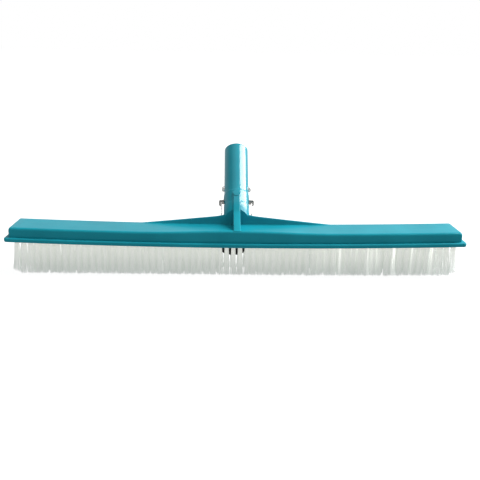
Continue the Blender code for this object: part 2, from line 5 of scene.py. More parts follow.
import bmesh
import bpy
import numpy as np
from mathutils import Matrix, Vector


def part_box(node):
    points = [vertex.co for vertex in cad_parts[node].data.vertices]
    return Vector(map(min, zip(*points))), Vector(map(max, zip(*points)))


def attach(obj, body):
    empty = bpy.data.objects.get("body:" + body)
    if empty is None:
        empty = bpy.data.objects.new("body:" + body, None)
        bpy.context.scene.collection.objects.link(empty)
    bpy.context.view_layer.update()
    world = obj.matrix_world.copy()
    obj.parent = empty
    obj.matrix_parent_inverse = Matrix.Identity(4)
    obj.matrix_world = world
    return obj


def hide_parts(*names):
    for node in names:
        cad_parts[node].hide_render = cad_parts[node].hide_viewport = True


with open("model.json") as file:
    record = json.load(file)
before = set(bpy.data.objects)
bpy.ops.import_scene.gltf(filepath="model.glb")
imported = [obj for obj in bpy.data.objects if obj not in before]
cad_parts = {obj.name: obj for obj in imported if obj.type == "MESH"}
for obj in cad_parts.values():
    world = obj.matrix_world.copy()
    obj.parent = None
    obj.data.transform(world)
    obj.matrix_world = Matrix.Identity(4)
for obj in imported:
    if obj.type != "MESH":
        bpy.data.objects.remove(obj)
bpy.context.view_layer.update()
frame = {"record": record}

# ---- Tuft block -----------------------------------------------------------------------------
# The drilled teal moulding that carries the bristles: a thin flange with a rolled rim, and a
# body that fills the back shell.  It is injection moulded, slightly bowed, and drilled from
# below in four rows before the tufts are stapled in.
block_low, block_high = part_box("tuft_block")
FLANGE_HALF_LENGTH = (block_high.x - block_low.x) / 2
FLANGE_HALF_WIDTH = (block_high.y - block_low.y) / 2
DECK_MIDDLE = (block_high.y + block_low.y) / 2
FLANGE_UNDERSIDE = block_low.z
FLANGE_THICKNESS = 0.0046
FLANGE_CORNER = 0.0035
RIM_ROUND = 0.0016
END_RISE = 0.0040
BODY_HALF_LENGTH = 0.2428
BODY_HALF_WIDTH = 0.0181
BODY_TOP = 0.0112
BODY_FOOT = FLANGE_THICKNESS * 0.7
BODY_CORNER = 0.0010
BODY_RIM = 0.0005
LENGTH_STEPS = 60
TUFT_PITCH = 0.00737
ROW_PITCH = 0.0084
HOLE_RADIUS = 0.0027
HOLE_DEPTH = 0.0091
HOLE_SIDES = 14
DRILL_START = 0.0100
SHANK_HOLE_RADIUS = 0.0021
SHANK_HOLE_DEPTH = 0.0200
HEAD_HOLE_RADIUS = 0.0039
HEAD_HOLE_DEPTH = 0.0023


def bow(x):
    """Rise of the bowed deck: the end rise times the square of the share of the half length."""
    return END_RISE * (x / FLANGE_HALF_LENGTH) ** 2


def grid_faces(rows, columns, round_rows=True):
    """Four corner numbers of each cell of a rows by columns grid of points, row by row."""
    row, column = np.meshgrid(np.arange(rows - 1), np.arange(columns - (not round_rows)),
                              indexing="ij")
    across = (column + 1) % columns
    corners = (row * columns + column, row * columns + across,
               (row + 1) * columns + across, (row + 1) * columns + column)
    return np.stack([c.ravel() for c in corners], axis=1)


def signed_volume(points, quads):
    """Sum over the quads of the dot product of their middle with their area vector, over 3."""
    a, b, c, d = (points[quads[:, i]] for i in range(4))
    return float(np.sum((a + b + c + d) / 4 * np.cross(c - a, d - b) / 2)) / 3


def put_mesh(name, points, quads, caps=()):
    """A mesh of quads with many-sided end caps, all turned to face outwards."""
    points = np.asarray(points, float).reshape(-1, 3)
    faces = quads.tolist() + [list(cap) for cap in caps]
    mesh = bpy.data.meshes.new(name)
    mesh.from_pydata(points.tolist(), [], faces)
    made = bpy.data.objects.new(name, mesh)
    bpy.context.scene.collection.objects.link(made)
    mend = bmesh.new()
    mend.from_mesh(mesh)
    bmesh.ops.remove_doubles(mend, verts=mend.verts, dist=1e-6)
    bmesh.ops.recalc_face_normals(mend, faces=mend.faces)
    mend.to_mesh(mesh)
    mend.free()
    return made


def carried(name, sections):
    """A closed profile carried along a path: sections is an array of rings by points by 3."""
    rings, around = sections.shape[:2]
    caps = (np.arange(around)[::-1], np.arange(around) + (rings - 1) * around)
    return put_mesh(name, sections, grid_faces(rings, around), caps)


def along_deck(half_length, corner, count):
    """Places along the deck from end to end, closer together round the plan corners."""
    turn = np.linspace(0, np.pi / 2, 9)
    middle = np.linspace(-(half_length - corner), half_length - corner, count)
    end = half_length - corner + corner * np.sin(turn[1:])
    return np.concatenate([-end[::-1], middle, end])


def round_in(x, half_length, radius):
    """Distance that a round of this radius has come in at x: radius less the circle's height."""
    past = np.clip(np.abs(x) - (half_length - radius), 0, radius)
    return radius - np.sqrt(np.maximum(radius ** 2 - past ** 2, (0.02 * radius) ** 2))


def reshape_with(target, operation, others):
    """Join or cut the target by other closed meshes, and keep only the result."""
    for other in others:
        step = target.modifiers.new(other.name, "BOOLEAN")
        step.operation = operation
        step.object = other
        step.solver = "EXACT"
    shown = target.evaluated_get(bpy.context.evaluated_depsgraph_get())
    result = bpy.data.meshes.new_from_object(shown)
    target.modifiers.clear()
    target.data = result
    for other in others:
        bpy.data.objects.remove(other, do_unlink=True)


def smooth(target, degrees):
    """Shade round faces smooth, and keep every edge sharper than this angle crisp."""
    target.data.shade_smooth()
    target.data.set_sharp_from_angle(angle=math.radians(degrees))


def finish_piece(target, material, nodes, body="brush"):
    """Give a piece its one material, its body, and the CAD nodes it stands for."""
    target.data.materials.clear()
    target.data.materials.append(material)
    if nodes:
        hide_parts(*nodes)
    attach(target, body)


def rimmed_bar(name, half_length, half_width, low, high, corner, rim, count):
    """A bowed bar whose rim is a quarter round above and below: half width less the round."""
    x = along_deck(half_length, corner, count)[:, None]
    turn = np.linspace(0, np.pi / 2, 6)[None, :]
    side = half_width - round_in(x, half_length, corner) - rim
    out = side + rim * np.cos(turn)
    up = high - rim + rim * np.sin(turn)
    down = low + rim - rim * np.sin(turn)
    y = np.concatenate([out, -out[:, ::-1], -out, out[:, ::-1]], axis=1)
    z = np.concatenate([up, up[:, ::-1], down, down[:, ::-1]], axis=1)
    ends = round_in(x, half_length, rim)
    middle = (low + high) / 2
    squeeze = 1 - ends / (high - low) * 1.2
    z = middle + (z - middle) * squeeze + bow(x)
    sections = np.stack([np.broadcast_to(x, y.shape), y + DECK_MIDDLE, z + FLANGE_UNDERSIDE], 2)
    return carried(name, sections)


def post_rows(x, y, radius, low, high, sides):
    """Upright round bars at many places at once: circle points at two heights, with caps."""
    turn = np.linspace(0, 2 * np.pi, sides, endpoint=False)
    ring = np.stack([radius * np.cos(turn), radius * np.sin(turn)], axis=1)
    places = np.stack([x, y], axis=1)
    flat = places[:, None, None, :] + ring[None, None, :, :]
    flat = np.broadcast_to(flat, (len(x), 2, sides, 2))
    height = np.stack([low, high], axis=1)[:, :, None, None]
    points = np.concatenate([flat, np.broadcast_to(height, (*flat.shape[:3], 1))], axis=3)
    one = grid_faces(2, sides)
    first = np.arange(len(x))[:, None, None] * 2 * sides
    quads = (one[None] + first).reshape(-1, 4)
    lids = np.stack([np.arange(sides)[::-1], np.arange(sides) + sides])
    caps = (lids[None] + first).reshape(-1, sides)
    return points, quads, caps


MIDDLE_SCREW = 11 * TUFT_PITCH
END_SCREW = 0.2330
SCREW_PLACES = np.array([-END_SCREW, -MIDDLE_SCREW, MIDDLE_SCREW, END_SCREW])
OUTER_ROW_TUFTS = (-33, 33)
INNER_ROW_TUFTS = (-30, 30)
BUMPER_X = -0.5 * TUFT_PITCH
BUMPER_CLEAR = 0.0166
SCREW_CLEAR = 0.0073


def tuft_places(row):
    """Places along a row: half pitches in the outer rows, whole pitches in the inner ones."""
    if abs(row) > 1:
        return (np.arange(*OUTER_ROW_TUFTS) + 0.5) * TUFT_PITCH
    places = np.arange(*INNER_ROW_TUFTS) * TUFT_PITCH
    far = np.abs(places - BUMPER_X) > BUMPER_CLEAR
    aside = np.hypot(places[:, None] - SCREW_PLACES[None], ROW_PITCH / 2).min(axis=1)
    return places[far & (aside > SCREW_CLEAR)]


ROWS = {"front": -1.5, "front_inner": -0.5, "back_inner": 0.5, "back": 1.5}


def teal_plastic(name, grain, roughness, polished_from):
    """Teal polypropylene: cloudy colour, fine mould grain, faint flow streaks, and a polished
    skin behind the given Y."""
    material = bpy.data.materials.new(name)
    material.use_nodes = True
    nodes, links = material.node_tree.nodes, material.node_tree.links
    shader = nodes["Principled BSDF"]
    shader.inputs["IOR"].default_value = 1.49
    shader.inputs["Specular IOR Level"].default_value = 0.12
    place = nodes.new("ShaderNodeTexCoord")
    shader.inputs["Coat Roughness"].default_value = 0.09
    shader.inputs["Coat IOR"].default_value = 1.45
    apart = nodes.new("ShaderNodeSeparateXYZ")
    links.new(place.outputs["Object"], apart.inputs["Vector"])
    polish = nodes.new("ShaderNodeMapRange")
    polish.inputs["From Min"].default_value = polished_from
    polish.inputs["From Max"].default_value = polished_from + 0.004
    polish.inputs["To Max"].default_value = 0.6
    links.new(apart.outputs["Y"], polish.inputs["Value"])
    links.new(polish.outputs["Result"], shader.inputs["Coat Weight"])
    cloud = nodes.new("ShaderNodeTexNoise")
    cloud.inputs["Scale"].default_value = 26.0
    cloud.inputs["Detail"].default_value = 5.0
    links.new(place.outputs["Object"], cloud.inputs["Vector"])
    tint = nodes.new("ShaderNodeValToRGB")
    tint.color_ramp.elements[0].position = 0.30
    tint.color_ramp.elements[0].color = (0.0060, 0.246, 0.316, 1)
    tint.color_ramp.elements[1].position = 0.72
    tint.color_ramp.elements[1].color = (0.0090, 0.290, 0.366, 1)
    links.new(cloud.outputs["Fac"], tint.inputs["Fac"])
    links.new(tint.outputs["Color"], shader.inputs["Base Color"])
    stretch = nodes.new("ShaderNodeMapping")
    stretch.inputs["Scale"].default_value = (0.25, 1.0, 1.0)
    links.new(place.outputs["Object"], stretch.inputs["Vector"])
    flow = nodes.new("ShaderNodeTexNoise")
    flow.inputs["Scale"].default_value = 90.0
    flow.inputs["Detail"].default_value = 3.0
    links.new(stretch.outputs["Vector"], flow.inputs["Vector"])
    shine = nodes.new("ShaderNodeMapRange")
    shine.inputs["To Min"].default_value = roughness * 0.86
    shine.inputs["To Max"].default_value = roughness * 1.16
    links.new(flow.outputs["Fac"], shine.inputs["Value"])
    links.new(shine.outputs["Result"], shader.inputs["Roughness"])
    fine = nodes.new("ShaderNodeTexNoise")
    fine.inputs["Scale"].default_value = 1400.0
    fine.inputs["Detail"].default_value = 2.0
    links.new(place.outputs["Object"], fine.inputs["Vector"])
    bump = nodes.new("ShaderNodeBump")
    bump.inputs["Strength"].default_value = grain
    bump.inputs["Distance"].default_value = 0.00006
    links.new(fine.outputs["Fac"], bump.inputs["Height"])
    wave = nodes.new("ShaderNodeBump")
    wave.inputs["Strength"].default_value = 0.25
    wave.inputs["Distance"].default_value = 0.0004
    links.new(flow.outputs["Fac"], wave.inputs["Height"])
    links.new(bump.outputs["Normal"], wave.inputs["Normal"])
    links.new(wave.outputs["Normal"], shader.inputs["Normal"])
    return material


tuft_block = rimmed_bar("tuft_block_moulding", FLANGE_HALF_LENGTH, FLANGE_HALF_WIDTH, 0.0,
                        FLANGE_THICKNESS, FLANGE_CORNER, RIM_ROUND, LENGTH_STEPS)
block_body = rimmed_bar("block_body", BODY_HALF_LENGTH, BODY_HALF_WIDTH, BODY_FOOT, BODY_TOP,
                        BODY_CORNER, BODY_RIM, LENGTH_STEPS)
hole_x = np.concatenate([tuft_places(row) for row in ROWS.values()])
hole_y = np.concatenate([np.full(len(tuft_places(row)), DECK_MIDDLE + row * ROW_PITCH)
                         for row in ROWS.values()])
hole_base = FLANGE_UNDERSIDE + bow(hole_x)
holes = put_mesh("tuft_holes", *post_rows(hole_x, hole_y, HOLE_RADIUS, hole_base - DRILL_START,
                                          hole_base + HOLE_DEPTH, HOLE_SIDES))
seat_x = np.append(SCREW_PLACES, BUMPER_X)
seat_base = FLANGE_UNDERSIDE + bow(seat_x)
seat_y = np.full(len(seat_x), DECK_MIDDLE)
shank_holes = put_mesh("shank_holes", *post_rows(
    seat_x, seat_y, SHANK_HOLE_RADIUS, seat_base - DRILL_START, seat_base + SHANK_HOLE_DEPTH, 24))
head_holes = put_mesh("head_holes", *post_rows(
    seat_x[:-1], seat_y[:-1], HEAD_HOLE_RADIUS, seat_base[:-1] - DRILL_START,
    seat_base[:-1] + HEAD_HOLE_DEPTH, 32))
reshape_with(tuft_block, "UNION", [block_body])
reshape_with(tuft_block, "DIFFERENCE", [holes, shank_holes, head_holes])
smooth(tuft_block, 35)
finish_piece(tuft_block, teal_plastic("teal_block", 0.12, 0.34, 1.0), ["tuft_block"])

# ---- Back shell -----------------------------------------------------------------------------
# One large injection moulding of the same teal plastic: the hollow deck cover with its upstand
# web, the gusset, and the sloping pole spigot.  Four screws from below clamp the tuft block
# into it.
FLANGE_LIP = 0.0043
SEAT_GAP = 0.0003
SHELL_HALF_LENGTH = FLANGE_HALF_LENGTH - FLANGE_LIP
SHELL_HALF_WIDTH = FLANGE_HALF_WIDTH - FLANGE_LIP
SHELL_SEAT = FLANGE_THICKNESS + SEAT_GAP
SHELL_TOP = 0.0152
SHELL_WALL = 0.0026
SHELL_CORNER = 0.0025
TOP_ROUND = 0.0028
CROWN_HEIGHT = 0.0027
CROWN_REACH = 0.110
WEB_REACH = 0.107
WEB_HEIGHT = 0.0100
WEB_PEAK = 0.0052
WEB_PEAK_REACH = 0.030
WEB_FOOT = 0.0046
WEB_SLOPE = 0.0019
BACK_ROUND = 0.0009

mouth = next(m for m in frame["record"]["mounts"] if m["name"] == "spigot_end")
AXIS = np.array(mouth["axis"])
OUTWARD = np.array([0.0, -AXIS[2], AXIS[1]])
SPIGOT_END = 0.1013
HANDLE_ROOT = np.array([0.0, *mouth["pos_m"][1:]]) - AXIS * SPIGOT_END
SPIGOT_RADIUS = 0.0143
COLLAR_RADIUS = 0.0149
COLLAR_END = 0.0310
ROOT_RADIUS = 0.0153
ROOT_END = 0.0150
BORE_RADIUS = 0.0118
BORE_START = 0.0040
MOUTH_ROUND = 0.0008
MOUTH_CHAMFER = 0.0004
HANDLE_FOOT = -0.0450
HANDLE_SINK = 0.0035
WINDOW_BOTTOM, WINDOW_TOP, WINDOW_HALF_WIDTH = 0.0020, 0.0260, 0.0050
LOCK_HOLE_DISTANCE = 0.0416
LOCK_HOLE_RADIUS = 0.0039
GUSSET_HALF = 0.0039
GUSSET_EDGE = 0.0009
GUSSET_BEND = 0.62
RIDGE_HEIGHT = 0.0010
BOSS_DISTANCE = 0.0245
BOSS_RADIUS = 0.0043
BOSS_FOOT = 0.0125
BOSS_HEIGHT = 0.0016
ACROSS_ALL = 0.1


def crown(x):
    """Swelling of the front top edge: half of one plus the cosine of the share of its reach."""
    share = np.clip(np.abs(x) / CROWN_REACH, 0, 1)
    return CROWN_HEIGHT * (1 + np.cos(np.pi * share)) / 2


def web_rise(x):
    """Height of the web: straight up towards the handle, with a quickening rise beside it."""
    away = np.abs(x)
    share = np.clip((WEB_REACH - np.maximum(away, ROOT_RADIUS)) / (WEB_REACH - ROOT_RADIUS), 0, 1)
    beside = np.clip(1 - away / WEB_PEAK_REACH, 0, 1)
    return WEB_HEIGHT * share + WEB_PEAK * beside ** 3


def deck_cover():
    """The cover's section at each place along the deck, round from the front seat to the back.

    The top is a plane that rises to the crowned front edge, plus the web: its rise times a
    smooth step across the web's slope.  Quarter rounds close the front and back top edges."""
    x = np.concatenate([along_deck(SHELL_HALF_LENGTH, SHELL_CORNER, LENGTH_STEPS),
                        np.linspace(-0.115, 0.115, 93)])
    x = np.unique(np.round(x, 6))[:, None]
    side = SHELL_HALF_WIDTH - round_in(x, SHELL_HALF_LENGTH, SHELL_CORNER)
    sunk = round_in(x, SHELL_HALF_LENGTH, TOP_ROUND)
    turn = np.linspace(0, np.pi / 2, 9)[None]
    back_high = SHELL_TOP - sunk
    front_high = back_high + crown(x)

    front_y = -side + TOP_ROUND * (1 - np.cos(turn))
    front_z = front_high - TOP_ROUND * (1 - np.sin(turn))
    flat = np.linspace(0.04, 0.96, 12)[None]
    web_start = side - WEB_FOOT
    flat_y = -side + TOP_ROUND + (web_start + side - TOP_ROUND) * flat
    step = np.linspace(0, 1, 13)[None]
    web_y = web_start + WEB_SLOPE * (step + step * (1 - step) * (step - 0.5) * -1.1)
    lift = web_rise(x) * step ** 2 * (3 - 2 * step)
    top_y = np.concatenate([flat_y, web_y], axis=1)
    share = (top_y + side) / (2 * side)
    top_z = front_high + (back_high - front_high) * share
    top_z[:, flat.shape[1]:] += lift
    crest = back_high + web_rise(x)
    back_y = side - BACK_ROUND + BACK_ROUND * np.sin(turn)
    back_z = crest - BACK_ROUND + BACK_ROUND * np.cos(turn)
    still = np.ones_like(x)
    inner = side - SHELL_WALL
    roof = SHELL_TOP - SHELL_WALL
    y = np.concatenate([-side, front_y, top_y, back_y, side, inner, inner, -inner, -inner], 1)
    z = np.concatenate([SHELL_SEAT * still, front_z, top_z, back_z, SHELL_SEAT * still,
                        SHELL_SEAT * still, roof * still, roof * still, SHELL_SEAT * still], 1)
    z = z + bow(x) + FLANGE_UNDERSIDE
    return np.stack([np.broadcast_to(x, y.shape), y + DECK_MIDDLE, z], axis=2)


def in_handle(across, outward, distance):
    """Places given across the deck, out from the handle's axis, and along it, in the frame."""
    across, outward, distance = np.broadcast_arrays(across, outward, distance)
    return (HANDLE_ROOT + across[..., None] * np.array([1.0, 0, 0])
            + outward[..., None] * OUTWARD + distance[..., None] * AXIS)


def turned_on_handle(name, radius, distance, sides):
    """A profile of radius against distance, turned round the handle's axis."""
    turn = np.linspace(0, 2 * np.pi, sides, endpoint=False)[None]
    radius, distance = np.asarray(radius)[:, None], np.asarray(distance)[:, None]
    places = in_handle(radius * np.sin(turn), radius * np.cos(turn), distance)
    return put_mesh(name, places, grid_faces(len(radius), sides))


def box_between(name, low, high, turn_into=None):
    """A plain cutting box between two corners, in the frame or on the handle."""
    corner = np.array([[0, 0, 0], [0, 1, 0], [0, 1, 1], [0, 0, 1]], float)
    both = np.stack([corner, corner + [1, 0, 0]])
    places = np.asarray(low) + both * (np.asarray(high) - np.asarray(low))
    if turn_into:
        places = turn_into(places[..., 0], places[..., 1], places[..., 2])
    return carried(name, places)


back_shell = carried("back_shell_moulding", deck_cover())

# The spigot: chamfered mouth, straight wall, a step where the pole stops, and a thicker root.
quarter = np.linspace(0, np.pi / 2, 5)
spigot_t = np.linspace(SPIGOT_END - MOUTH_ROUND - 0.0004, COLLAR_END + 0.0004, 30)
collar_t = np.linspace(COLLAR_END - 0.0003, ROOT_END + 0.0002, 12)
root_t = np.linspace(ROOT_END - 0.0003, HANDLE_FOOT, 24)
profile_r = [0, BORE_RADIUS, BORE_RADIUS, BORE_RADIUS + MOUTH_CHAMFER,
             *(SPIGOT_RADIUS - MOUTH_ROUND + MOUTH_ROUND * np.sin(quarter)),
             *(spigot_t * 0 + SPIGOT_RADIUS), SPIGOT_RADIUS + 0.0001, COLLAR_RADIUS - 0.0002,
             *(collar_t * 0 + COLLAR_RADIUS), ROOT_RADIUS - 0.0001,
             *(root_t * 0 + ROOT_RADIUS), 0]
profile_t = [BORE_START, BORE_START, SPIGOT_END - MOUTH_CHAMFER, SPIGOT_END,
             *(SPIGOT_END - MOUTH_ROUND + MOUTH_ROUND * np.cos(quarter)), *spigot_t,
             COLLAR_END + 0.0001, COLLAR_END, *collar_t, ROOT_END, *root_t, HANDLE_FOOT]
handle = turned_on_handle("handle", profile_r, profile_t, 96)
web_face = DECK_MIDDLE + SHELL_HALF_WIDTH - HANDLE_SINK
seat_z = FLANGE_UNDERSIDE + SHELL_SEAT
ahead = box_between("ahead", (-ACROSS_ALL, web_face - 2 * ACROSS_ALL, -ACROSS_ALL),
                    (ACROSS_ALL, web_face, 2 * ACROSS_ALL))
under = box_between("under", (-ACROSS_ALL, -2 * ACROSS_ALL, seat_z - 2 * ACROSS_ALL),
                    (ACROSS_ALL, 2 * ACROSS_ALL, seat_z + 0.0001))
reshape_with(handle, "DIFFERENCE", [ahead, under])

# The gusset: a rounded rib from the deck's front edge up to the boss on the spigot's front.
ridge_front = np.array([0.0, DECK_MIDDLE - SHELL_HALF_WIDTH + RIDGE_HEIGHT,
                        FLANGE_UNDERSIDE + SHELL_TOP + 0.0026])
ridge_bend = in_handle(0.0, ROOT_RADIUS + RIDGE_HEIGHT, -0.0020)
ridge_top = in_handle(0.0, ROOT_RADIUS + RIDGE_HEIGHT, BOSS_DISTANCE)


def gusset():
    """A rib whose section is a rounded crest over a foot that flares out near the deck.

    Its crest follows the ridge, two straight lines with a soft bend, and the half width at a
    depth below the crest is a quarter circle at the crest and a flare where the deck is."""
    share = np.linspace(0, 1, 33)[:, None]
    lower = ridge_front + (ridge_bend - ridge_front) * np.clip(share / GUSSET_BEND, 0, 1)
    past = np.clip((share - GUSSET_BEND) / (1 - GUSSET_BEND), 0, 1)
    line = lower + (ridge_top - ridge_bend) * past
    deck_level = FLANGE_UNDERSIDE + SHELL_TOP - 0.0015
    turn = np.linspace(0, np.pi / 2, 6)
    across = np.concatenate([[GUSSET_HALF + 0.0016, GUSSET_HALF + 0.0006, GUSSET_HALF],
                             GUSSET_HALF - GUSSET_EDGE + GUSSET_EDGE * np.cos(turn)])
    across = np.concatenate([across, -across[::-1]])
    sink = GUSSET_EDGE - GUSSET_EDGE * np.sin(turn)
    floor = np.minimum(line[:, 2] - 0.003, deck_level + 0.5 * np.clip(line[:, 1] - web_face, 0, 1))
    high = line[:, 2][:, None]
    low = floor[:, None]
    side = np.concatenate([low, low + 0.0016, np.minimum(low + 0.0034, high - 0.001),
                           high - sink[None]], axis=1)
    z = np.concatenate([side, side[:, ::-1]], axis=1)
    y = np.broadcast_to(line[:, 1][:, None], z.shape)
    x = np.broadcast_to(across[None], z.shape)
    return np.stack([x, y, z], axis=2)


rib = carried("rib", gusset())
turn = np.linspace(0, 2 * np.pi, 40, endpoint=False)[None]
boss_radius = BOSS_RADIUS - np.array([0.0, 0.0, 0.0002, 0.0007, BOSS_RADIUS])[:, None]
boss_face = ROOT_RADIUS + BOSS_HEIGHT
boss_height = np.array([BOSS_FOOT, boss_face - 0.0004, boss_face - 0.0001, boss_face,
                        boss_face])[:, None]
boss = put_mesh("boss", in_handle(boss_radius * np.sin(turn), boss_height,
                                  BOSS_DISTANCE + boss_radius * np.cos(turn)),
                grid_faces(5, 40), [np.arange(40)])
reshape_with(back_shell, "UNION", [handle, rib, boss])
window = box_between("window", (-ACROSS_ALL / 2, -WINDOW_HALF_WIDTH, WINDOW_BOTTOM),
                     (ACROSS_ALL / 2, WINDOW_HALF_WIDTH, WINDOW_TOP), in_handle)
side_turn = np.linspace(0, 2 * np.pi, 40, endpoint=False)
lock_ring = in_handle(np.array([[-0.03], [0.03]]), LOCK_HOLE_RADIUS * np.cos(side_turn)[None],
                      LOCK_HOLE_DISTANCE + LOCK_HOLE_RADIUS * np.sin(side_turn)[None])
reshape_with(back_shell, "DIFFERENCE", [window, carried("lock_holes", lock_ring)])
smooth(back_shell, 33)
shell_finish = teal_plastic("teal_shell", 0.30, 0.30, DECK_MIDDLE + SHELL_HALF_WIDTH)
finish_piece(back_shell, shell_finish, ["back_shell"])

# ---- Bristle tufts --------------------------------------------------------------------------
# Each tuft is a bundle of stiff nylon filaments, folded over a wire anchor and driven into its
# hole, so it leaves the block as a tight round bunch and spreads a little towards its tips.
# The tips are trimmed level after tufting.
FILAMENTS = 46
FILAMENT_RADIUS = 0.00022
BUNCH_RADIUS = 0.00225
TUFT_LENGTH = FLANGE_UNDERSIDE
ROOT_DEPTH = 0.0060
SPREAD = 0.62
SPREAD_POWER = 1.4
LOOSE_SPREAD, LOOSE_FROM, LOOSE_OVER = 0.55, 0.216, 0.008
END_LEAN, LEAN_FROM, LEAN_OVER = 0.0016, 0.224, 0.012
WEAR, WORN_FROM, WORN_OVER = 0.0050, 0.2335, 0.009
RIGHT_TRIM = 0.55
# Painted highlight streaks glow only in tufts to the right of this place.
HIGHLIGHT_STREAK_FROM = 0.09
RINGS = np.array([-ROOT_DEPTH, 0.0, 0.22, 0.48, 0.74, 1.0])
FILAMENT_SIDES = 4


def nylon():
    """Milky nylon that passes light on from filament to filament, warmer near its root, with painted
    shade at the tuft sides and tips and a painted glow.
    """
    material = bpy.data.materials.new("bristle_filament")
    material.use_nodes = True
    nodes, links = material.node_tree.nodes, material.node_tree.links
    shader = nodes["Principled BSDF"]
    shader.inputs["IOR"].default_value = 1.53
    shader.inputs["Roughness"].default_value = 0.30
    shader.inputs["Subsurface Weight"].default_value = 1.0
    shader.inputs["Subsurface Radius"].default_value = (1.0, 1.0, 1.0)
    shader.inputs["Subsurface Scale"].default_value = 0.0012
    # Filament tone: random variation, plus painted shade on the filaments at the sides of each tuft.
    filament_tone_and_side_shade = nodes.new("ShaderNodeAttribute")
    filament_tone_and_side_shade.attribute_name = "tone_and_painted_side_shade"
    shade = nodes.new("ShaderNodeValToRGB")
    shade.color_ramp.elements[0].color = (0.74, 0.79, 0.745, 1)
    shade.color_ramp.elements[1].color = (0.985, 0.995, 0.975, 1)
    links.new(filament_tone_and_side_shade.outputs["Fac"], shade.inputs["Fac"])
    # Along the filament: a warmer tint near the root, and a darker tip colour that is painted shade
    # on the lower ends of the tufts.
    reach = nodes.new("ShaderNodeAttribute")
    reach.attribute_name = "reach"
    root_tint_and_tip_shade = nodes.new("ShaderNodeValToRGB")
    root_tint_and_tip_shade.color_ramp.elements[0].color = (1.0, 0.965, 0.935, 1)
    root_tint_and_tip_shade.color_ramp.elements[1].color = (0.91, 0.95, 0.945, 1)
    root_tint_and_tip_shade.color_ramp.elements.new(0.40).color = (1.0, 1.0, 0.985, 1)
    links.new(reach.outputs["Fac"], root_tint_and_tip_shade.inputs["Fac"])
    blend = nodes.new("ShaderNodeMix")
    blend.data_type = "RGBA"
    blend.blend_type = "MULTIPLY"
    blend.inputs["Factor"].default_value = 1.0
    links.new(shade.outputs["Color"], blend.inputs[6])
    links.new(root_tint_and_tip_shade.outputs["Color"], blend.inputs[7])
    links.new(blend.outputs[2], shader.inputs["Base Color"])
    # Painted glow: the filaments emit light, most near their roots, to brighten the tufts.
    painted_glow = nodes.new("ShaderNodeAttribute")
    painted_glow.attribute_name = "painted_glow"
    painted_glow_colour = nodes.new("ShaderNodeValToRGB")
    painted_glow_colour.color_ramp.elements[0].color = (0.0, 0.0, 0.0, 1)
    painted_glow_colour.color_ramp.elements[1].color = (0.98, 1.0, 0.96, 1)
    links.new(painted_glow.outputs["Fac"], painted_glow_colour.inputs["Fac"])
    links.new(painted_glow_colour.outputs["Color"], shader.inputs["Emission Color"])
    shader.inputs["Emission Strength"].default_value = 0.50
    return material


